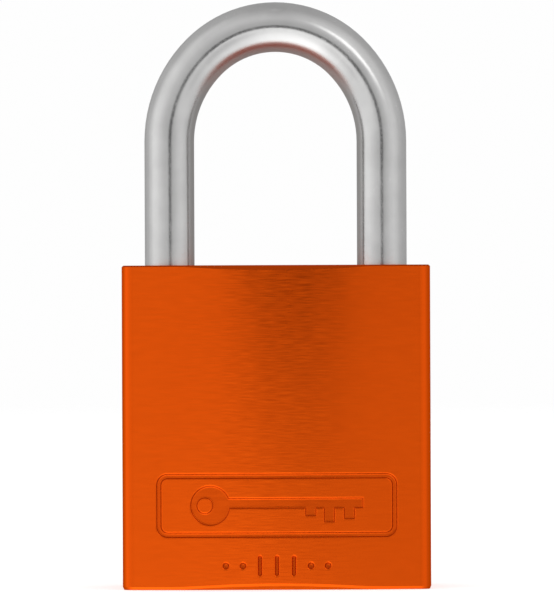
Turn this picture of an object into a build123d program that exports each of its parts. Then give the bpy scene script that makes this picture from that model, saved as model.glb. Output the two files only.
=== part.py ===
from build123d import *
from math import acos, cos, degrees, pi, radians, sin, sqrt
import os

# Safety padlock: aluminium body, steel shackle, removable six-pin key cylinder, double ball locking.
# Frame: millimetres, +Z up the shackle, origin at the centre of the body's underside, front face to -Y.
# The heel leg, which stays in the body, is at -X. The toe leg, which comes free, is at +X.
# Everything stands as it does with the shackle pushed home and the key still turned.

# ---- driving dimensions -------------------------------------------------------------------------

# body
body_width = 40.0
body_depth = 19.0
body_height = 42.0
face_crown_radius = 160.0
body_corner_radius = 1.5
edge_chamfer = 0.65
rim_chamfer = 0.2
mouth_chamfer = 0.3

# stamped marks on the front
stamp_depth = 0.24
stamp_edge = 0.12
stamp_block = 2.0
badge_width = 31.0
badge_height = 8.1
badge_z = 10.9
badge_corner_radius = 1.4
badge_line = 0.5
key_blade_x = 1.6
key_blade_rise = 0.3
key_blade_length = 19.0
key_blade_height = 1.2
key_bits = [(4.4, 1.3), (6.8, 2.1), (9.4, 1.7)]
key_bit_width = 1.25
key_bow_x = -8.6
key_bow_radius = 2.5
key_hole_x = -9.3
key_hole_radius = 1.05
code_z = 3.1
code_height = 2.4
code_line = 0.26
code_edge = 0.19
code_dot_radius = 0.3
code_pitch = 2.2

# shackle
bar_radius = 3.25
leg_x = 13.87
arch_side_radius = 15.72
arch_top_radius = 13.1
straight_above_body = 16.2
toe_tip_z = 32.2
heel_tip_z = 18.5
tip_chamfer = 0.8
shackle_lift = 12.0
shackle_bore_radius = 3.4
toe_bore_floor_z = 31.4
heel_bore_floor_z = 9.0

# locking balls
ball_radius = 3.0
ball_z = 36.3
locked_ball_x = 9.4
toe_ball_travel = 2.0
heel_ball_travel = 1.0
pocket_radius = 3.1
ball_channel_radius = 3.05

# locking cam
cam_land_radius = 6.25
cam_ball_gap = 0.15
cam_bottom_z = 31.0
cam_top_z = 39.4
cam_bore_radius = 6.5
cam_bore_top_z = 39.6
cam_step_angle = 27.0
cam_ramp_points = 7
cam_chamfer = 0.3

# key cylinder
shell_radius = 7.8
shell_bottom_z = 0.4
shell_top_z = 29.2
housing_half_width = 2.8
housing_reach = 16.2
cover_seat_x = 15.3
plug_radius = 6.0
running_gap = 0.05
flange_radius = 6.8
flange_bottom_z = 0.6
flange_top_z = 1.6
counterbore_radius = 6.9
stop_angle = 20.0
stop_half_angle = 6.0
stop_slack_angle = 2.0
plug_turn = 90.0
plug_collar_z = 30.9
tongue_top_z = 34.0
tongue_thickness = 3.0
tongue_width = 6.4
fit_gap = 0.1

# body pocket that takes the cylinder from below
pocket_gap = 0.05
pocket_reach = 16.3
pocket_top_z = 29.9
clip_space_top_z = 30.3

# pin chambers
chamber_count = 6
first_chamber_z = 5.0
chamber_pitch = 3.7
chamber_radius = 1.5
chamber_floor = -2.2
key_pin_radius = 1.45
key_pin_outer_end = 5.95
key_pin_lengths = [5.2, 6.4, 4.6, 7.0, 5.8, 6.7]
key_pin_cone = 0.9
key_pin_nose_radius = 0.35
driver_pin_radius = 1.425
driver_waist_radius = 1.0
driver_inner_end = 6.08
driver_length = 4.8
driver_land = 1.2
pin_edge = 0.15
cover_thickness = 0.8
cover_width = 4.4
cover_overhang = 0.4

# keyway
keyway_half_width = 1.1
keyway_top = 2.6
keyway_end_z = 27.5
ward = 0.7
left_ward = [-4.5, -4.1, -3.1, -2.7]
right_ward = [-2.0, -1.6, -0.6, -0.2]

# clip behind the plug
groove_radius = 5.25
groove_bottom_z = 29.22
groove_top_z = 30.05
clip_inner_radius = 5.3
clip_outer_radius = 7.0
clip_opening_angle = 80.0
clip_gap = 0.03

# screw that holds the cylinder, reached down the open toe bore
screw_x = 13.2
screw_radius = 1.5
screw_bottom_z = 26.6
socket_across_flats = 1.5
socket_depth = 1.6

# springs
pin_spring_radius = 1.12
pin_spring_wire_radius = 0.16
pin_spring_turns = 6
shackle_spring_radius = 2.55
shackle_spring_wire_radius = 0.4
shackle_spring_turns = 7

# how far a cutting shape runs past the metal that it cuts
overcut = 1.0

# ---- worked out from them -----------------------------------------------------------------------

half_width = body_width / 2
half_depth = body_depth / 2
chamber_heights = [first_chamber_z + i * chamber_pitch for i in range(chamber_count)]
toe_ball_x = locked_ball_x - toe_ball_travel
heel_ball_x = -(locked_ball_x - heel_ball_travel)
arch_z = body_height + straight_above_body
arch_centre_shift = arch_side_radius - leg_x
arch_side_turn = degrees(acos(arch_centre_shift / (arch_side_radius - arch_top_radius)))
arch_top_centre_z = arch_z + (arch_side_radius - arch_top_radius) * sin(radians(arch_side_turn))
driver_outer_end = driver_inner_end + driver_length
cover_length = chamber_heights[-1] - chamber_heights[0] + 2 * (chamber_radius + cover_overhang)
cover_z = (chamber_heights[0] + chamber_heights[-1]) / 2


def crown_y(x):
    """Half of the body's depth at x, measured to its crowned face."""
    return half_depth - (face_crown_radius - sqrt(face_crown_radius**2 - x**2))


def is_stamp_rim(edge):
    """True for an edge where a stamped mark meets the crowned front face."""
    where = edge @ 0.5
    in_marks = abs(where.X) < badge_width / 2 + badge_line and edge_chamfer < where.Z < badge_z + badge_height
    return in_marks and abs(where.Y + crown_y(where.X)) < stamp_depth / 4


def is_code_rim(edge):
    """True for a stamp rim that belongs to the row of punch marks."""
    return is_stamp_rim(edge) and (edge @ 0.5).Z < code_z + code_height


def is_long_cut(edge):
    """True for the straight edge where a 45 degree cut meets the top or the underside."""
    return edge.geom_type == GeomType.LINE and abs((edge % 0).X) > abs((edge % 0).Y)


def polar(radius, angle):
    """A point at a radius and an angle in degrees from +X."""
    return (radius * cos(radians(angle)), radius * sin(radians(angle)))


def ring_sector(inner, outer, start, sweep_angle):
    """Draw the closed outline of a piece of a ring in the open line context."""
    CenterArc((0, 0), inner, start, sweep_angle)
    Line(polar(inner, start + sweep_angle), polar(outer, start + sweep_angle))
    CenterArc((0, 0), outer, start + sweep_angle, -sweep_angle)
    Line(polar(outer, start), polar(inner, start))


def coil_spring(base, direction, length, coil_radius, wire_radius, turns):
    """A round-wire compression spring that fills a length from its base."""
    first = Vector(*base) + Vector(*direction) * wire_radius
    rise = length - 2 * wire_radius
    with BuildPart() as spring:
        with BuildLine() as coil:
            Helix(rise / turns, rise, coil_radius, center=first, direction=direction)
        with BuildSketch(Plane(origin=coil.line @ 0, z_dir=coil.line % 0)):
            Circle(wire_radius)
        sweep(path=coil.line, is_frenet=True)
    return spring.part


os.makedirs("parts", exist_ok=True)

# ---- body ---------------------------------------------------------------------------------------

# marks stamped a constant depth into the crowned front: a framed key symbol over a row of punch marks
with BuildPart() as stamping:
    with BuildSketch(Plane.XZ.offset(half_depth - stamp_block)):
        with Locations((0, badge_z)):
            RectangleRounded(badge_width, badge_height, badge_corner_radius)
            RectangleRounded(
                badge_width - 2 * badge_line,
                badge_height - 2 * badge_line,
                badge_corner_radius - badge_line,
                mode=Mode.SUBTRACT,
            )
        # key symbol: blade, bits and a round bow with its hole
        with Locations((key_blade_x, badge_z + key_blade_rise)):
            Rectangle(key_blade_length, key_blade_height)
        for bit_x, bit_height in key_bits:
            with Locations((bit_x, badge_z - bit_height / 2)):
                Rectangle(key_bit_width, bit_height)
        with Locations((key_bow_x, badge_z)):
            Circle(key_bow_radius)
        with Locations((key_hole_x, badge_z)):
            Circle(key_hole_radius, mode=Mode.SUBTRACT)
        # punch marks
        for i in (-3, -2, 2, 3):
            with Locations((i * code_pitch, code_z)):
                Circle(code_dot_radius)
        for i in (-1, 0, 1):
            with Locations((i * code_pitch, code_z)):
                SlotOverall(code_height, code_line, rotation=90)
    extrude(amount=2 * stamp_block)
    with BuildSketch(Plane.XY):
        with BuildLine():
            front = ThreePointArc(
                (-half_width, -crown_y(half_width)), (0, -half_depth), (half_width, -crown_y(half_width))
            )
            Line(front @ 1, (half_width, -crown_y(half_width) + stamp_depth))
            floor = ThreePointArc(
                (half_width, -crown_y(half_width) + stamp_depth),
                (0, -half_depth + stamp_depth),
                (-half_width, -crown_y(half_width) + stamp_depth),
            )
            Line(floor @ 1, front @ 0)
        make_face()
    extrude(amount=body_height, mode=Mode.INTERSECT)

with BuildPart() as lock_body:
    with BuildSketch(Plane.XY) as plan:
        with BuildLine():
            face = crown_y(half_width)
            ThreePointArc((-half_width, -face), (0, -half_depth), (half_width, -face))
            Line((half_width, -face), (half_width, face))
            ThreePointArc((half_width, face), (0, half_depth), (-half_width, face))
            Line((-half_width, face), (-half_width, -face))
        make_face()
        fillet(plan.vertices(), body_corner_radius)
    extrude(amount=body_height)
    # flat 45 degree cuts along the long edges, which run out where the crowned faces fall away
    # the rest of each outline has a small chamfer
    for side in (-1, 1):
        for level, up in ((0, -1), (body_height, 1)):
            cut_plane = Plane(
                origin=(0, side * (half_depth - edge_chamfer), level),
                x_dir=(1, 0, 0),
                z_dir=(0, side, up),
            )
            split(bisect_by=cut_plane, keep=Keep.BOTTOM)
    ends = lock_body.faces().filter_by(Axis.Z)
    outlines = ends.sort_by(Axis.Z)[0].edges() + ends.sort_by(Axis.Z)[-1].edges()
    chamfer(outlines.filter_by(is_long_cut, reverse=True), rim_chamfer)
    # bores for the two legs
    with BuildSketch(Plane.XY.offset(toe_bore_floor_z)):
        with Locations((leg_x, 0)):
            Circle(shackle_bore_radius)
    extrude(amount=body_height - toe_bore_floor_z, mode=Mode.SUBTRACT)
    with BuildSketch(Plane.XY.offset(heel_bore_floor_z)):
        with Locations((-leg_x, 0)):
            Circle(shackle_bore_radius)
    extrude(amount=body_height - heel_bore_floor_z, mode=Mode.SUBTRACT)
    # pocket for the cylinder, space for its clip, and the bore of the cam above
    with BuildSketch(Plane.XY):
        Circle(shell_radius + pocket_gap)
    extrude(amount=clip_space_top_z, mode=Mode.SUBTRACT)
    with BuildSketch(Plane.XY):
        with Locations((pocket_reach / 2, 0)):
            Rectangle(pocket_reach, 2 * (housing_half_width + pocket_gap))
    extrude(amount=pocket_top_z, mode=Mode.SUBTRACT)
    with BuildSketch(Plane.XY.offset(clip_space_top_z)):
        Circle(cam_bore_radius)
    extrude(amount=cam_bore_top_z - clip_space_top_z, mode=Mode.SUBTRACT)
    # cross channel in which the balls slide
    with BuildSketch(Plane.YZ.offset(-leg_x)):
        with Locations((0, ball_z)):
            Circle(ball_channel_radius)
    extrude(amount=2 * leg_x, mode=Mode.SUBTRACT)
    # threaded hole for the cylinder's screw
    with BuildSketch(Plane.XY.offset(pocket_top_z)):
        with Locations((screw_x, 0)):
            Circle(screw_radius)
    extrude(amount=toe_bore_floor_z - pocket_top_z, mode=Mode.SUBTRACT)
    # the stamped marks, with their rims broken
    add(stamping.part, mode=Mode.SUBTRACT)
    code_rims = lock_body.edges().filter_by(is_code_rim)
    chamfer(code_rims, code_edge)
    badge_rims = lock_body.edges().filter_by(is_stamp_rim).filter_by(is_code_rim, reverse=True)
    chamfer(badge_rims, stamp_edge)
    # a small countersink where each leg enters
    mouths = lock_body.faces().sort_by(Axis.Z)[-1].inner_wires().edges()
    chamfer(mouths, mouth_chamfer)
lock_body.part.label = "lock_body"
export_step(lock_body.part, "parts/lock_body.step")

# ---- shackle ------------------------------------------------------------------------------------

with BuildPart() as shackle:
    with BuildLine(Plane.XZ):
        Line((-leg_x, heel_tip_z), (-leg_x, arch_z))
        CenterArc((arch_centre_shift, arch_z), arch_side_radius, 180, -arch_side_turn)
        top_turn = 180 - 2 * arch_side_turn
        CenterArc((0, arch_top_centre_z), arch_top_radius, 180 - arch_side_turn, -top_turn)
        CenterArc((-arch_centre_shift, arch_z), arch_side_radius, arch_side_turn, -arch_side_turn)
        Line((leg_x, arch_z), (leg_x, toe_tip_z))
    with BuildSketch(Plane.XY.offset(heel_tip_z)):
        with Locations((-leg_x, 0)):
            Circle(bar_radius)
    sweep()
    chamfer(shackle.faces().filter_by(GeomType.PLANE).edges(), tip_chamfer)
    # both balls lock into round pockets
    with Locations((-locked_ball_x, 0, ball_z), (locked_ball_x, 0, ball_z)):
        Sphere(pocket_radius, mode=Mode.SUBTRACT)
    # the heel leg is held by its ball along a channel that ends in a deeper pocket and a turning groove
    open_pocket_z = ball_z - shackle_lift
    channel_x = heel_ball_x - fit_gap / 2
    with BuildSketch(Plane.XY.offset(open_pocket_z)):
        with Locations((channel_x, 0)):
            Circle(pocket_radius)
    extrude(amount=shackle_lift, mode=Mode.SUBTRACT)
    with Locations((-locked_ball_x, 0, open_pocket_z), (channel_x, 0, open_pocket_z)):
        Sphere(pocket_radius, mode=Mode.SUBTRACT)
    with Locations((channel_x, 0, ball_z)):
        Sphere(pocket_radius, mode=Mode.SUBTRACT)
    with Locations((-leg_x, 0, open_pocket_z)):
        Torus(channel_x + leg_x, pocket_radius, mode=Mode.SUBTRACT)
shackle.part.label = "shackle"
export_step(shackle.part, "parts/shackle.step")

shackle_spring = coil_spring(
    (-leg_x, 0, heel_bore_floor_z),
    (0, 0, 1),
    heel_tip_z - heel_bore_floor_z,
    shackle_spring_radius,
    shackle_spring_wire_radius,
    shackle_spring_turns,
)
shackle_spring.label = "shackle_spring"
export_step(shackle_spring, "parts/shackle_spring.step")

# ---- balls and cam ------------------------------------------------------------------------------

with BuildPart(Plane((toe_ball_x, 0, ball_z))) as toe_ball:
    Sphere(ball_radius)
toe_ball.part.label = "toe_ball"
export_step(toe_ball.part, "parts/toe_ball.step")

with BuildPart(Plane((heel_ball_x, 0, ball_z))) as heel_ball:
    Sphere(ball_radius)
heel_ball.part.label = "heel_ball"
export_step(heel_ball.part, "parts/heel_ball.step")


def cam_side(open_radius, start):
    """Draw half of the cam: a recess that a ball drops into, its ramp, the land and the step down to the next."""
    CenterArc((0, 0), open_radius, start - cam_step_angle, cam_step_angle)
    ramp = []
    for i in range(cam_ramp_points):
        share = i / (cam_ramp_points - 1)
        radius = open_radius + share * (cam_land_radius - open_radius)
        ramp.append(polar(radius, start + share * plug_turn))
    Spline(*ramp)
    CenterArc((0, 0), cam_land_radius, start + plug_turn, 180 - plug_turn - cam_step_angle)


toe_recess_radius = toe_ball_x - ball_radius - cam_ball_gap
heel_recess_radius = -heel_ball_x - ball_radius - cam_ball_gap

with BuildPart() as locking_cam:
    with BuildSketch(Plane.XY.offset(cam_bottom_z)):
        with BuildLine():
            cam_side(toe_recess_radius, 0)
            Line(polar(cam_land_radius, 180 - cam_step_angle), polar(heel_recess_radius, 180 - cam_step_angle))
            cam_side(heel_recess_radius, 180)
            Line(polar(cam_land_radius, -cam_step_angle), polar(toe_recess_radius, -cam_step_angle))
        make_face()
    extrude(amount=cam_top_z - cam_bottom_z)
    with BuildSketch(Plane.XY.offset(cam_bottom_z)):
        Rectangle(tongue_thickness + 2 * fit_gap, tongue_width + 2 * fit_gap)
    extrude(amount=tongue_top_z + fit_gap - cam_bottom_z, mode=Mode.SUBTRACT)
    chamfer(locking_cam.faces().sort_by(Axis.Z)[-1].edges(), cam_chamfer)
locking_cam.part.label = "locking_cam"
export_step(locking_cam.part, "parts/locking_cam.step")

# ---- key cylinder -------------------------------------------------------------------------------

with BuildPart() as cylinder_shell:
    with BuildSketch(Plane.XY.offset(shell_bottom_z)):
        Circle(shell_radius)
        with Locations((housing_reach / 2, 0)):
            Rectangle(housing_reach, 2 * housing_half_width)
        Circle(plug_radius + running_gap, mode=Mode.SUBTRACT)
    extrude(amount=shell_top_z - shell_bottom_z)
    # recess for the plug's flange, with the boss that stops its turn
    with BuildSketch(Plane.XY.offset(shell_bottom_z)):
        Circle(counterbore_radius)
        with BuildLine():
            ring_sector(
                plug_radius + fit_gap,
                counterbore_radius + fit_gap,
                stop_angle - stop_half_angle,
                2 * stop_half_angle,
            )
        make_face(mode=Mode.SUBTRACT)
    extrude(amount=flange_top_z + running_gap - shell_bottom_z, mode=Mode.SUBTRACT)
    # seat of the cover strip in the housing's outer face
    with BuildSketch(Plane.YZ.offset(cover_seat_x)):
        with Locations((0, cover_z)):
            RectangleRounded(cover_width + fit_gap, cover_length + fit_gap, cover_width / 4)
    extrude(amount=housing_reach - cover_seat_x, mode=Mode.SUBTRACT)
    # pin chambers, drilled from that seat into the plug's bore
    with BuildSketch(Plane.YZ.offset(cover_seat_x)):
        for height in chamber_heights:
            with Locations((0, height)):
                Circle(chamber_radius)
    extrude(amount=plug_radius / 2 - cover_seat_x, mode=Mode.SUBTRACT)
    # hole for the retaining screw
    with BuildSketch(Plane.XY.offset(screw_bottom_z - fit_gap)):
        with Locations((screw_x, 0)):
            Circle(screw_radius)
    extrude(amount=shell_top_z - screw_bottom_z + fit_gap, mode=Mode.SUBTRACT)
cylinder_shell.part.label = "cylinder_shell"
export_step(cylinder_shell.part, "parts/cylinder_shell.step")

with BuildPart() as plug:
    with BuildSketch(Plane.XY.offset(flange_bottom_z)):
        Circle(flange_radius)
    extrude(amount=flange_top_z - flange_bottom_z)
    with BuildSketch(Plane.XY.offset(flange_top_z)):
        Circle(plug_radius)
    extrude(amount=plug_collar_z - flange_top_z)
    with BuildSketch(Plane.XY.offset(plug_collar_z)):
        Rectangle(tongue_thickness, tongue_width)
    extrude(amount=tongue_top_z - plug_collar_z)
    # groove for the clip
    with BuildSketch(Plane.XY.offset(groove_bottom_z)):
        Circle(plug_radius + fit_gap)
        Circle(groove_radius, mode=Mode.SUBTRACT)
    extrude(amount=groove_top_z - groove_bottom_z, mode=Mode.SUBTRACT)
    # notch in the flange that the stop boss runs in
    with BuildSketch(Plane.XY.offset(flange_bottom_z)):
        with BuildLine():
            ring_sector(
                plug_radius,
                flange_radius + fit_gap,
                stop_angle - stop_half_angle - stop_slack_angle,
                plug_turn + 2 * (stop_half_angle + stop_slack_angle),
            )
        make_face()
    extrude(amount=flange_top_z - flange_bottom_z, mode=Mode.SUBTRACT)
    # keyway, with a ward on each side
    with BuildSketch(Plane.XY.offset(flange_bottom_z)):
        with BuildLine():
            Polyline(
                (-keyway_half_width, -flange_radius - overcut),
                (-keyway_half_width, left_ward[0]),
                (-keyway_half_width + ward, left_ward[1]),
                (-keyway_half_width + ward, left_ward[2]),
                (-keyway_half_width, left_ward[3]),
                (-keyway_half_width, keyway_top),
                (keyway_half_width, keyway_top),
                (keyway_half_width, right_ward[3]),
                (keyway_half_width - ward, right_ward[2]),
                (keyway_half_width - ward, right_ward[1]),
                (keyway_half_width, right_ward[0]),
                (keyway_half_width, -flange_radius - overcut),
                close=True,
            )
        make_face()
    extrude(amount=keyway_end_z - flange_bottom_z, mode=Mode.SUBTRACT)
    # pin chambers
    with BuildSketch(Plane.XZ.offset(-chamber_floor)):
        for height in chamber_heights:
            with Locations((0, height)):
                Circle(chamber_radius)
    extrude(amount=chamber_floor - plug_radius - overcut, mode=Mode.SUBTRACT)
plug.part.label = "plug"
export_step(plug.part, "parts/plug.step")

with BuildPart() as plug_clip:
    with BuildSketch(Plane.XY.offset(groove_bottom_z + clip_gap)):
        with BuildLine():
            ring_sector(
                clip_inner_radius,
                clip_outer_radius,
                270 + clip_opening_angle / 2,
                360 - clip_opening_angle,
            )
        make_face()
    extrude(amount=groove_top_z - groove_bottom_z - 2 * clip_gap)
plug_clip.part.label = "plug_clip"
export_step(plug_clip.part, "parts/plug_clip.step")

# key pins, driver pins and springs: one stack for each chamber
for number, (height, length) in enumerate(zip(chamber_heights, key_pin_lengths), start=1):
    with BuildPart() as key_pin:
        with BuildSketch(Plane.YZ):
            with BuildLine():
                inner = key_pin_outer_end - length
                Polyline(
                    (inner, height),
                    (inner, height + key_pin_nose_radius),
                    (inner + key_pin_cone, height + key_pin_radius),
                    (key_pin_outer_end - pin_edge, height + key_pin_radius),
                    (key_pin_outer_end, height + key_pin_radius - pin_edge),
                    (key_pin_outer_end, height),
                    close=True,
                )
            make_face()
        revolve(axis=Axis((0, 0, height), (0, 1, 0)))
    key_pin.part.label = f"key_pin_{number}"
    export_step(key_pin.part, f"parts/key_pin_{number}.step")

    with BuildPart() as driver_pin:
        with BuildSketch(Plane.XZ):
            with BuildLine():
                rim = height + driver_pin_radius
                waist = height + driver_waist_radius
                Polyline(
                    (driver_inner_end, height),
                    (driver_inner_end, rim - pin_edge),
                    (driver_inner_end + pin_edge, rim),
                    (driver_inner_end + driver_land, rim),
                    (driver_inner_end + driver_land, waist),
                    (driver_outer_end - driver_land, waist),
                    (driver_outer_end - driver_land, rim),
                    (driver_outer_end, rim),
                    (driver_outer_end, height),
                    close=True,
                )
            make_face()
        revolve(axis=Axis((0, 0, height), (1, 0, 0)))
    driver_pin.part.label = f"driver_pin_{number}"
    export_step(driver_pin.part, f"parts/driver_pin_{number}.step")

    pin_spring = coil_spring(
        (driver_outer_end, 0, height),
        (1, 0, 0),
        cover_seat_x - driver_outer_end,
        pin_spring_radius,
        pin_spring_wire_radius,
        pin_spring_turns,
    )
    pin_spring.label = f"pin_spring_{number}"
    export_step(pin_spring, f"parts/pin_spring_{number}.step")

with BuildPart() as chamber_cover:
    with BuildSketch(Plane.YZ.offset(cover_seat_x)):
        with Locations((0, cover_z)):
            RectangleRounded(cover_width, cover_length, cover_width / 4)
    extrude(amount=cover_thickness)
chamber_cover.part.label = "chamber_cover"
export_step(chamber_cover.part, "parts/chamber_cover.step")

with BuildPart() as core_screw:
    with BuildSketch(Plane.XY.offset(screw_bottom_z)):
        with Locations((screw_x, 0)):
            Circle(screw_radius)
    extrude(amount=toe_bore_floor_z - screw_bottom_z)
    chamfer(core_screw.faces().sort_by(Axis.Z)[0].edges(), screw_radius / 2)
    with BuildSketch(Plane.XY.offset(toe_bore_floor_z)):
        with Locations((screw_x, 0)):
            RegularPolygon(socket_across_flats / 2, 6, major_radius=False)
    extrude(amount=-socket_depth, mode=Mode.SUBTRACT)
core_screw.part.label = "core_screw"
export_step(core_screw.part, "parts/core_screw.step")
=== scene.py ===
import math

import bpy
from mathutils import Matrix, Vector


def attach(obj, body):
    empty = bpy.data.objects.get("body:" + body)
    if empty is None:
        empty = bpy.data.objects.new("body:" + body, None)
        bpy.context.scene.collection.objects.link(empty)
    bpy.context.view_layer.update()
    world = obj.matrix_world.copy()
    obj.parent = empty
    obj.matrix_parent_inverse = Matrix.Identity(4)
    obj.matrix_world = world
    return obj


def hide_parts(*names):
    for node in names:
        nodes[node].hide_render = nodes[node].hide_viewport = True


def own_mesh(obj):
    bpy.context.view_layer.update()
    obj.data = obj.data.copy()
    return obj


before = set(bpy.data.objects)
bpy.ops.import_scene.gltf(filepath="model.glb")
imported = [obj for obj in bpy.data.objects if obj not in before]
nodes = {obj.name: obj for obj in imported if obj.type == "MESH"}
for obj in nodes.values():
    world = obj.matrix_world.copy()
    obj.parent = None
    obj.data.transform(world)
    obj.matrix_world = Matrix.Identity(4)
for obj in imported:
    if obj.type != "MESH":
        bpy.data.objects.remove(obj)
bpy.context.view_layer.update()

# A safety padlock on a pale floor, seen level from the front. Metres, +Z up, front face to -Y.

scene = bpy.context.scene
scene.view_settings.view_transform = "Standard"

MM = 0.001


# ---- camera -------------------------------------------------------------------------------------

CAMERA_DISTANCE = 0.8
FRAME_HEIGHT = 76.5 * MM
FRONT_DEPTH = 9.5 * MM
VIEW_CENTRE = Vector((0.14, 0.0, 37.99)) * MM
ROLL = math.radians(0.23)

camera_data = bpy.data.cameras.new("camera")
camera = bpy.data.objects.new("camera", camera_data)
scene.collection.objects.link(camera)
camera_data.lens = camera_data.sensor_width * CAMERA_DISTANCE / FRAME_HEIGHT
camera_data.clip_start = 0.05
camera_data.clip_end = 50.0
camera.location = VIEW_CENTRE - Vector((0, CAMERA_DISTANCE + FRONT_DEPTH, 0))
camera.rotation_euler = (math.radians(90), ROLL, 0)
scene.camera = camera


# ---- shader helpers -----------------------------------------------------------------------------


class Graph:
    """A node tree under construction, with short calls for the nodes it needs."""

    def __init__(self, tree):
        self.tree = tree
        tree.nodes.clear()

    def node(self, kind, **settings):
        made = self.tree.nodes.new(kind)
        for key, value in settings.items():
            setattr(made, key, value)
        return made

    def feed(self, socket, value):
        if isinstance(value, bpy.types.NodeSocket):
            self.tree.links.new(value, socket)
        else:
            socket.default_value = value

    def math(self, operation, a, b=0.0):
        made = self.node("ShaderNodeMath", operation=operation)
        self.feed(made.inputs[0], a)
        self.feed(made.inputs[1], b)
        return made.outputs[0]

    def product(self, first, *others):
        for other in others:
            first = self.math("MULTIPLY", first, other)
        return first

    def total(self, first, *others):
        for other in others:
            first = self.math("ADD", first, other)
        return first

    def split(self, vector):
        made = self.node("ShaderNodeSeparateXYZ")
        self.feed(made.inputs[0], vector)
        return made.outputs

    def join(self, x, y, z):
        made = self.node("ShaderNodeCombineXYZ")
        for socket, value in zip(made.inputs, (x, y, z)):
            self.feed(socket, value)
        return made.outputs[0]

    def vector(self, operation, a, b=None):
        made = self.node("ShaderNodeVectorMath", operation=operation)
        self.feed(made.inputs[0], a)
        if b is not None:
            self.feed(made.inputs[1], b)
        return made.outputs["Value" if operation in ("DOT_PRODUCT", "LENGTH") else "Vector"]

    def place(self, kind="Object"):
        return self.node("ShaderNodeTexCoord").outputs[kind]

    def noise(self, cycles, detail=2.0, roughness=0.5):
        """Noise over the object's own coordinates, in cycles per metre along each axis."""
        mapping = self.node("ShaderNodeMapping")
        self.feed(mapping.inputs["Vector"], self.place())
        mapping.inputs["Scale"].default_value = cycles
        made = self.node("ShaderNodeTexNoise")
        self.feed(made.inputs["Vector"], mapping.outputs[0])
        made.inputs["Scale"].default_value = 1.0
        made.inputs["Detail"].default_value = detail
        made.inputs["Roughness"].default_value = roughness
        return made.outputs[0]

    def spread(self, value, low, high, from_low=0.3, from_high=0.7, smooth=False):
        """A value between from_low and from_high, mapped to between low and high."""
        made = self.node("ShaderNodeMapRange", interpolation_type="SMOOTHSTEP" if smooth else "LINEAR")
        self.feed(made.inputs["Value"], value)
        made.inputs["From Min"].default_value = from_low
        made.inputs["From Max"].default_value = from_high
        made.inputs["To Min"].default_value = low
        made.inputs["To Max"].default_value = high
        return made.outputs[0]

    def ramp(self, share, stops, interpolation="LINEAR"):
        """Grey level along a share from 0 to 1, through (position, level) stops."""
        made = self.node("ShaderNodeValToRGB")
        made.color_ramp.interpolation = interpolation
        self.feed(made.inputs[0], share)
        elements = made.color_ramp.elements
        elements.remove(elements[-1])
        for i, (position, level) in enumerate(stops):
            element = elements[0] if i == 0 else elements.new(position)
            element.position = position
            element.color = (level, level, level, 1)
        return made.outputs["Color"]

    def mix(self, share, a, b):
        made = self.node("ShaderNodeMix", data_type="FLOAT")
        self.feed(made.inputs[0], share)
        self.feed(made.inputs[2], a)
        self.feed(made.inputs[3], b)
        return made.outputs[0]

    def tint(self, share, a, b):
        made = self.node("ShaderNodeMix", data_type="RGBA")
        self.feed(made.inputs[0], share)
        self.feed(made.inputs[6], a)
        self.feed(made.inputs[7], b)
        return made.outputs[2]

    def soften(self, share, radius):
        """The surface's normal, turned as if its edges were rounded, where the share is 1."""
        rounded = self.node("ShaderNodeBevel", samples=8)
        rounded.inputs["Radius"].default_value = radius
        made = self.node("ShaderNodeMix", data_type="VECTOR")
        self.feed(made.inputs[0], share)
        self.feed(made.inputs[4], self.node("ShaderNodeNewGeometry").outputs["Normal"])
        self.feed(made.inputs[5], rounded.outputs[0])
        return made.outputs[1]

    def bump(self, height, distance, normal=None):
        made = self.node("ShaderNodeBump")
        self.feed(made.inputs["Height"], height)
        made.inputs["Distance"].default_value = distance
        if normal is not None:
            self.feed(made.inputs["Normal"], normal)
        return made.outputs[0]


class Shader(Graph):
    """A material whose surface is one principled shader."""

    def __init__(self, name):
        self.material = bpy.data.materials.new(name)
        self.material.use_nodes = True
        super().__init__(self.material.node_tree)
        self.bsdf = self.node("ShaderNodeBsdfPrincipled")
        self.output = self.node("ShaderNodeOutputMaterial")
        self.tree.links.new(self.bsdf.outputs[0], self.output.inputs[0])

    def metal(self, colour, roughness, normal):
        self.bsdf.inputs["Metallic"].default_value = 1.0
        self.feed(self.bsdf.inputs["Base Color"], colour)
        self.feed(self.bsdf.inputs["Roughness"], roughness)
        self.feed(self.bsdf.inputs["Normal"], normal)
        return self.material

    def brush(self, anisotropy):
        """Stretch reflections up and down, across brush lines that run level round the Z axis."""
        tangent = self.node("ShaderNodeTangent", direction_type="RADIAL", axis="Z")
        self.bsdf.inputs["Anisotropic"].default_value = anisotropy
        self.bsdf.inputs["Anisotropic Rotation"].default_value = 0.25
        self.feed(self.bsdf.inputs["Tangent"], tangent.outputs[0])


def dress(material, *names):
    for name in names:
        mesh = nodes[name].data
        mesh.materials.clear()
        mesh.materials.append(material)


# ---- orange body --------------------------------------------------------------------------------

CROWN_RADIUS = 160 * MM
HALF_WIDTH = 20 * MM
# how far from the middle the painted shade along the rounded side edge begins and is full
SIDE_EDGE_SHADE = (18.4 * MM, 19.2 * MM)
# how strongly the hairlines show, from the middle of the face to its side; their extra strength in the
# middle is painted glint
HAIR_GLINT_STRENGTH = ((0.0, 1.0), (0.25, 0.9), (0.45, 0.4), (0.65, 0.24), (1.0, 0.17))
# cycles per metre along and across the brush lines
HAIR_CYCLES = (420, 7000)
LINE_CYCLES = (200, 2600)
# the stamp marks: how much painted shade darkens them down to a full depth, how round their edges
# look, and the part of the front that has them
STAMP_FULL = 0.3 * MM
BADGE_SHADE = ((0.03, 0.0), (0.15, 1.0), (0.66, 1.0), (0.84, 0.1))
CODE_SHADE = ((0.05, 0.0), (0.2, 0.5), (0.62, 0.8), (0.76, 0.8))
CODE_TOP = 5.5 * MM
STAMP_SHOULDER = 0.26 * MM
STAMP_LIMIT = 1.0 * MM
STAMP_REACH = 16.5 * MM
STAMP_HEIGHTS = (1.2 * MM, 16.0 * MM)
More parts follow.
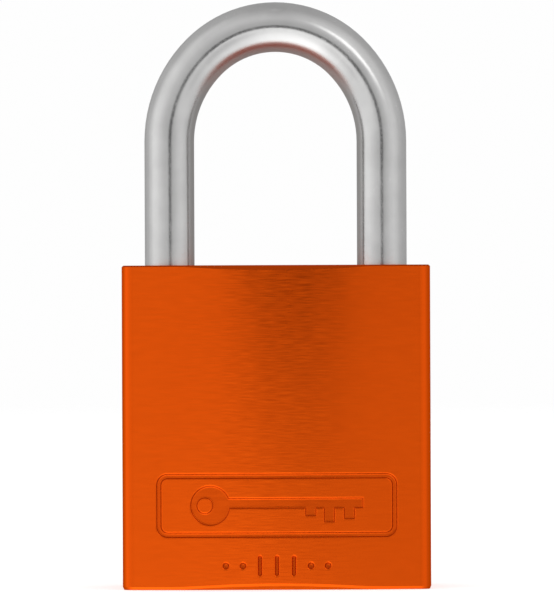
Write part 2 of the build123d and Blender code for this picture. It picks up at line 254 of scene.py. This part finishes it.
# a surface faces up or down, or is one of the sloping cuts round the top, by its normal's height
END_FACING = 0.9
CUT_FACING = 0.3
TOP_CUT_Z = 41.0 * MM
TOP_CUT_SHADE = 0.8


def anodised_aluminium():
    """Brushed and dyed metal, with painted shade in the stamp marks, on the top cuts and along the sides,
    and painted glints in its hairlines.
    """
    s = Shader("orange_anodised_aluminium")
    x, y, z = s.split(s.place())
    from_middle = s.math("ABSOLUTE", x)
    crown = s.math("DIVIDE", s.math("MULTIPLY", x, x), 2 * CROWN_RADIUS)
    depth = s.math("SUBTRACT", s.math("ADD", y, FRONT_DEPTH), crown)
    in_marks = s.product(
        s.math("LESS_THAN", depth, STAMP_LIMIT),
        s.math("LESS_THAN", from_middle, STAMP_REACH),
        s.math("GREATER_THAN", z, STAMP_HEIGHTS[0]),
        s.math("LESS_THAN", z, STAMP_HEIGHTS[1]),
    )
    depth_share = s.spread(depth, 0.0, 1.0, 0.0, STAMP_FULL)
    in_code = s.math("LESS_THAN", z, CODE_TOP)
    # painted shade in the stamp marks, by depth: on the slopes of the badge, on slopes and floors of the
    # code
    stamp_shade = s.mix(in_code, s.ramp(depth_share, BADGE_SHADE), s.ramp(depth_share, CODE_SHADE))
    stamp_shade = s.product(stamp_shade, in_marks)

    up = s.split(s.place("Normal"))["Z"]
    on_end = s.math("GREATER_THAN", s.math("ABSOLUTE", up), END_FACING)
    # painted shade on the sloping cuts round the top
    painted_cut_shade = s.product(
        s.math("GREATER_THAN", up, CUT_FACING),
        s.math("LESS_THAN", up, END_FACING),
        s.math("GREATER_THAN", z, TOP_CUT_Z),
        TOP_CUT_SHADE,
    )

    def brushed(cycles, detail):
        along, across = cycles
        on_side = s.noise((along, along, across), detail)
        return s.mix(on_end, on_side, s.noise((along, across, along), detail))

    hairs = brushed(HAIR_CYCLES, 1.0)
    lines = brushed(LINE_CYCLES, 2.0)
    cloud = s.noise((60, 60, 60), 3.0)
    # the hairlines are painted stronger along the middle of the crowned faces, as painted glints
    glint_strength = s.ramp(s.spread(from_middle, 0.0, 1.0, 0.0, HALF_WIDTH), HAIR_GLINT_STRENGTH)
    grain_and_glints = s.total(s.product(s.spread(hairs, -0.5, 0.5), glint_strength), 0.5)
    colour = s.tint(grain_and_glints, (0.75, 0.0825, 0.0033, 1), (0.91, 0.109, 0.0046, 1))
    colour = s.tint(s.spread(cloud, 0.0, 0.2), colour, (0.76, 0.080, 0.003, 1))
    # painted shade along the rounded side edges
    colour = s.tint(s.spread(from_middle, 0.0, 0.5, *SIDE_EDGE_SHADE), colour, (0.66, 0.066, 0.0025, 1))
    # the painted shade of the stamp marks and of the top cuts, in one dark orange
    colour = s.tint(s.math("MAXIMUM", stamp_shade, painted_cut_shade), colour, (0.48, 0.050, 0.003, 1))
    normal = s.bump(lines, 0.0006 * MM, s.soften(in_marks, STAMP_SHOULDER))
    s.bsdf.inputs["Specular Tint"].default_value = (1.0, 0.55, 0.35, 1)
    s.brush(0.6)
    return s.metal(colour, s.spread(hairs, 0.165, 0.215), normal)


# ---- chromed bar --------------------------------------------------------------------------------

ARCH_Z = 58.2 * MM
# how squarely a surface faces into the bow where it turns dull, and grey with painted shade, and
# where the underside of the arch begins
INNER_FACING = (0.72, 0.92)
UNDER_FACING = (0.5, 0.72)
# the heights over which the underside of the arch turns duller, and then takes a painted brownish
# reflection of the orange body
UNDER_DULL = (60 * MM, 66 * MM)
UNDER_BODY_REFLECTION = (63.5 * MM, 67.5 * MM)


def satin_chrome():
    """Plated bar, duller and darkened with painted shade on the side that faces into the bow, and with a
    painted brownish reflection of the orange body under the arch.
    """
    s = Shader("satin_chrome")
    spot = s.split(s.place())
    x, z = spot["X"], spot["Z"]
    rise = s.math("MAXIMUM", s.math("SUBTRACT", z, ARCH_Z), 0.0)
    inwards = s.vector("NORMALIZE", s.join(s.product(x, -1.0), 0.0, s.product(rise, -1.0)))
    facing = s.vector("DOT_PRODUCT", inwards, s.place("Normal"))
    inner = s.spread(facing, 0.0, 1.0, *INNER_FACING, smooth=True)
    under = s.spread(facing, 0.0, 1.0, *UNDER_FACING, smooth=True)
    under = s.product(under, s.spread(z, 0.0, 1.0, *UNDER_DULL, smooth=True))
    body_reflection = s.product(under, s.spread(z, 0.0, 1.0, *UNDER_BODY_REFLECTION, smooth=True))
    cloud = s.noise((260, 260, 260), 3.0)
    grain = s.noise((2600, 2600, 2600), 2.0)
    colour = s.tint(s.spread(cloud, 0.0, 1.0), (0.535, 0.532, 0.53, 1), (0.60, 0.597, 0.594, 1))
    # painted shade on the side that faces into the bow
    colour = s.tint(inner, colour, (0.38, 0.37, 0.36, 1))
    # painted brownish reflection of the orange body under the arch
    colour = s.tint(body_reflection, colour, (0.45, 0.375, 0.355, 1))
    haze = s.spread(s.noise((7000, 7000, 7000), 1.0), 0.0, 0.10, 0.45, 0.72)
    roughness = s.total(s.spread(cloud, 0.14, 0.18), haze, s.product(inner, 0.20), s.product(under, 0.14))
    s.bsdf.inputs["Specular Tint"].default_value = (0.95, 0.95, 0.95, 1)
    normal = s.bump(cloud, 0.012 * MM)
    normal = s.bump(grain, 0.0012 * MM, normal)
    return s.metal(colour, roughness, normal)


# ---- metals inside ------------------------------------------------------------------------------

RING_CYCLES = 4200
PINS = range(1, 7)


def turned_metal(name, dark, light, axis, roughness):
    """Metal turned or drawn about one axis: fine rings across it, with a little stain."""
    s = Shader(name)
    cycles = [120, 120, 120]
    cycles["XYZ".index(axis)] = RING_CYCLES
    rings = s.noise(cycles, 2.0)
    stain = s.noise((420, 420, 420), 4.0)
    colour = s.tint(s.spread(stain, 0.0, 1.0), (*dark, 1), (*light, 1))
    return s.metal(colour, s.spread(rings, *roughness), s.bump(rings, 0.003 * MM))


def each_pin(name):
    return [f"{name}_{number}" for number in PINS]


dress(anodised_aluminium(), "lock_body")
dress(satin_chrome(), "shackle")
brass = turned_metal("machined_brass", (0.60, 0.40, 0.13), (0.78, 0.56, 0.24), "Y", (0.24, 0.36))
dress(brass, "cylinder_shell", "plug", "chamber_cover")
nickel = turned_metal("nickel_silver", (0.56, 0.50, 0.36), (0.70, 0.65, 0.50), "Y", (0.20, 0.30))
dress(nickel, *each_pin("key_pin"))
driver = turned_metal("driver_steel", (0.42, 0.42, 0.43), (0.56, 0.56, 0.57), "X", (0.22, 0.32))
dress(driver, *each_pin("driver_pin"))
wire = turned_metal("spring_wire", (0.30, 0.30, 0.31), (0.48, 0.48, 0.49), "Z", (0.25, 0.38))
dress(wire, "shackle_spring", "plug_clip", *each_pin("pin_spring"))
ball = turned_metal("ball_steel", (0.58, 0.58, 0.59), (0.68, 0.68, 0.69), "Z", (0.08, 0.14))
dress(ball, "toe_ball", "heel_ball")
hard = turned_metal("hardened_steel", (0.22, 0.21, 0.20), (0.38, 0.36, 0.34), "Z", (0.34, 0.48))
dress(hard, "locking_cam")
black = turned_metal("black_oxide_steel", (0.03, 0.03, 0.032), (0.08, 0.08, 0.085), "Z", (0.34, 0.46))
dress(black, "core_screw")


# ---- copies of the pin springs ------------------------------------------------------------------


def shorten_with_pin(number):
    """A copy of a pin spring, parented to the lock's body in place of the original, which is hidden."""
    spring = nodes[f"pin_spring_{number}"]
    soft = bpy.data.objects.new(f"pressed_spring_{number}", spring.data.copy())
    soft.matrix_world = spring.matrix_world
    scene.collection.objects.link(soft)
    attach(soft, "lock")
    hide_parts(f"pin_spring_{number}")
    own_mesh(soft)


for pin in PINS:
    shorten_with_pin(pin)


# ---- floor and flag -----------------------------------------------------------------------------

CORNER_SIGNS = ((-1, -1), (1, -1), (1, 1), (-1, 1))

FLOOR_REACH = 1.5
FLOOR_GAP = 0.05 * MM
FLOOR_GLOW = 0.54
# how far out the floor begins to fade, and where it is gone
FLOOR_FADE = (0.25, 1.4)

FLAG_DISTANCE = 0.5
FLAG_REACH = 0.3
# the dark spot: its middle, its width against its height, its edge, and what it lets through
FLAG_AT = (17 * MM, 80 * MM)
FLAG_WIDE = 1.12
FLAG_EDGE = (42 * MM, 70 * MM)
FLAG_LEVEL = 0.11


def make_card(name, corners):
    mesh = bpy.data.meshes.new(name)
    mesh.from_pydata(corners, [], [(0, 1, 2, 3)])
    plane = bpy.data.objects.new(name, mesh)
    scene.collection.objects.link(plane)
    return plane


def make_floor():
    """A pale floor, which takes the object's shadow and fades into the white backdrop."""
    corners = [(i * FLOOR_REACH, j * FLOOR_REACH, -FLOOR_GAP) for i, j in CORNER_SIGNS]
    floor = make_card("floor", corners)
    floor.visible_glossy = False
    floor.visible_shadow = False
    s = Shader("pale_floor")
    s.bsdf.inputs["Base Color"].default_value = (0.86, 0.86, 0.86, 1)
    s.bsdf.inputs["Roughness"].default_value = 0.8
    s.bsdf.inputs["Specular IOR Level"].default_value = 0.0
    s.bsdf.inputs["Emission Color"].default_value = (1, 1, 1, 1)
    s.bsdf.inputs["Emission Strength"].default_value = FLOOR_GLOW
    fade = s.spread(s.vector("LENGTH", s.place()), 0.0, 1.0, *FLOOR_FADE, smooth=True)
    fade = s.math("MAXIMUM", fade, s.node("ShaderNodeNewGeometry").outputs["Backfacing"])
    clear = s.node("ShaderNodeBsdfTransparent")
    pick = s.node("ShaderNodeMixShader")
    s.feed(pick.inputs[0], fade)
    s.feed(pick.inputs[1], s.bsdf.outputs[0])
    s.feed(pick.inputs[2], clear.outputs[0])
    s.feed(s.output.inputs[0], pick.outputs[0])
    floor.data.materials.append(s.material)


def make_flag():
    """A dark spot in the air in front, which only the metal mirrors. The camera looks through it."""
    corners = [(i * FLAG_REACH, -FLAG_DISTANCE, j * FLAG_REACH) for i, j in CORNER_SIGNS]
    flag = make_card("flag", corners)
    flag.visible_camera = False
    material = bpy.data.materials.new("dark_spot")
    material.use_nodes = True
    flag.data.materials.append(material)
    g = Graph(material.node_tree)
    spot = g.split(g.place())
    aside = g.math("DIVIDE", g.math("SUBTRACT", spot["X"], FLAG_AT[0]), FLAG_WIDE)
    off = g.vector("LENGTH", g.join(aside, 0.0, g.math("SUBTRACT", spot["Z"], FLAG_AT[1])))
    clear = g.node("ShaderNodeBsdfTransparent")
    g.feed(clear.inputs[0], g.spread(off, FLAG_LEVEL, 1.0, *FLAG_EDGE, smooth=True))
    g.feed(g.node("ShaderNodeOutputMaterial").inputs[0], clear.outputs[0])


# ---- studio light -------------------------------------------------------------------------------

# the ramps hold levels divided by this, and the strength of the light multiplies them back
LEVEL_SCALE = 2.0
BACKDROP = 0.99

# brightness of the studio: for each angle above the horizon, (bearing, level) pairs, where a
# bearing is the angle round from the camera's side, + to the right
STUDIO = {
    -90: ((-180, 0.86), (180, 0.86)),
    -70: (
        (-180, 0.42), (-100, 0.70), (-40, 1.06), (0, 1.06), (40, 1.00), (100, 0.65), (180, 0.42),
    ),
    -45: (
        (-180, 0.42), (-118, 0.60), (-75, 1.08), (-40, 1.24), (0, 0.94), (40, 1.10), (70, 0.92),
        (114, 0.55), (180, 0.42),
    ),
    -20: (
        (-180, 0.50), (-118, 0.70), (-75, 1.10), (-40, 1.08), (-16, 0.84), (12, 0.74), (25, 0.78),
        (50, 0.94), (75, 0.90), (114, 0.60), (180, 0.50),
    ),
    -7: (
        (-180, 0.48), (-118, 0.70), (-77, 1.15), (-44, 1.10), (-16, 1.14), (0, 1.12), (12, 0.97),
        (25, 0.96), (56, 0.98), (92, 0.71), (147, 0.55), (180, 0.48),
    ),
    0: (
        (-180, 0.46), (-150, 0.54), (-118, 0.70), (-95, 0.93), (-77, 1.18), (-60, 1.14), (-44, 0.98),
        (-30, 0.84), (-16, 0.71), (0, 0.66), (12, 0.58), (25, 0.74), (41, 0.88), (56, 0.96),
        (72, 0.88), (92, 0.71), (114, 0.61), (147, 0.55), (180, 0.46),
    ),
    16: (
        (-180, 0.48), (-118, 0.70), (-77, 1.15), (-60, 1.10), (-44, 0.96), (-25, 0.78), (0, 0.63),
        (14, 0.70), (41, 0.92), (65, 0.92), (92, 0.72), (147, 0.55), (180, 0.48),
    ),
    40: (
        (-180, 0.52), (-118, 0.66), (-65, 1.00), (-35, 0.90), (0, 0.79), (40, 0.98), (70, 0.90),
        (114, 0.62), (180, 0.52),
    ),
    90: ((-180, 0.55), (180, 0.55)),
}

# a strip of light that lies below and in front, as seen from EYE_HEIGHT above it: its middle and
# half width, how far out it begins, and how far out and how strong it is near, far and at its end
EYE_HEIGHT = 0.07
LEAST_DOWN = 0.02
STRIP_AT = -0.015
STRIP_WIDTH = 0.042
STRIP_START = 0.02
STRIP_NEAR = 0.08
STRIP_NEAR_LEVEL = 0.74
STRIP_FAR = 0.36
STRIP_FAR_LEVEL = 0.44
STRIP_END = 1.0

# a small lamp, up to the right, longer than wide: its bearing and height, its edge, its length
# against its width and how much it adds
LAMP_AT = (32, 30)
LAMP_EDGE = (10.5, 3.0)
LAMP_STRETCH = 2.0
LAMP_LEVEL = 1.15


def wall_light(g, bearing, height):
    """The studio's own brightness, from one ring of levels to the next above it."""
    round_share = g.spread(bearing, 0.0, 1.0, -math.pi, math.pi)

    def ring(angle):
        stops = [((degrees + 180) / 360, level / LEVEL_SCALE) for degrees, level in STUDIO[angle]]
        return g.ramp(round_share, stops, "EASE")

    angles = list(STUDIO)
    walls = ring(angles[0])
    for below, above in zip(angles, angles[1:]):
        share = g.spread(height, 0.0, 1.0, math.radians(below), math.radians(above), smooth=True)
        walls = g.mix(share, walls, ring(above))
    return walls


def strip_light(g, x, y, z):
    """What the strip below and in front adds, which softens to its sides and its ends."""
    down = g.math("MAXIMUM", g.product(z, -1.0), LEAST_DOWN)
    out = g.product(g.math("DIVIDE", y, down), -EYE_HEIGHT)
    along = g.product(g.math("DIVIDE", x, down), EYE_HEIGHT)
    off = g.math("DIVIDE", g.math("SUBTRACT", along, STRIP_AT), STRIP_WIDTH)
    profile = g.math("POWER", math.e, g.product(off, off, -1.0))
    fall = g.spread(out, STRIP_NEAR_LEVEL, STRIP_FAR_LEVEL, STRIP_NEAR, STRIP_FAR)
    start = g.spread(out, 0.0, 1.0, 0.0, STRIP_START)
    end = g.spread(out, 1.0, 0.0, STRIP_FAR, STRIP_END)
    return g.product(profile, fall, start, end, 1 / LEVEL_SCALE)


def lamp_light(g, bearing, height):
    """What the small lamp adds. It slopes down to the right."""
    aside = g.math("SUBTRACT", bearing, math.radians(LAMP_AT[0]))
    aside = g.product(aside, math.cos(math.radians(LAMP_AT[1])))
    above = g.math("SUBTRACT", height, math.radians(LAMP_AT[1]))
    across = g.math("ADD", aside, above)
    along = g.math("DIVIDE", g.math("SUBTRACT", aside, above), LAMP_STRETCH)
    off = g.math("DIVIDE", g.vector("LENGTH", g.join(across, along, 0.0)), math.sqrt(2))
    return g.spread(off, 0.0, LAMP_LEVEL / LEVEL_SCALE, *map(math.radians, LAMP_EDGE), smooth=True)


def make_studio():
    """Light walls, a strip and a lamp round the object, in front of a white backdrop."""
    world = bpy.data.worlds.new("studio")
    scene.world = world
    world.use_nodes = True
    g = Graph(world.node_tree)
    x, y, z = g.split(g.place("Generated"))
    bearing = g.math("ARCTAN2", x, g.product(y, -1.0))
    height = g.math("ARCSINE", z)
    light = g.node("ShaderNodeBackground")
    level = g.total(wall_light(g, bearing, height), lamp_light(g, bearing, height), strip_light(g, x, y, z))
    g.feed(light.inputs["Color"], level)
    light.inputs["Strength"].default_value = LEVEL_SCALE
    backdrop = g.node("ShaderNodeBackground")
    backdrop.inputs["Color"].default_value = (BACKDROP, BACKDROP, BACKDROP, 1)
    pick = g.node("ShaderNodeMixShader")
    g.feed(pick.inputs[0], g.node("ShaderNodeLightPath").outputs["Is Camera Ray"])
    g.feed(pick.inputs[1], light.outputs[0])
    g.feed(pick.inputs[2], backdrop.outputs[0])
    g.feed(g.node("ShaderNodeOutputWorld").inputs[0], pick.outputs[0])


make_floor()
make_flag()
make_studio()
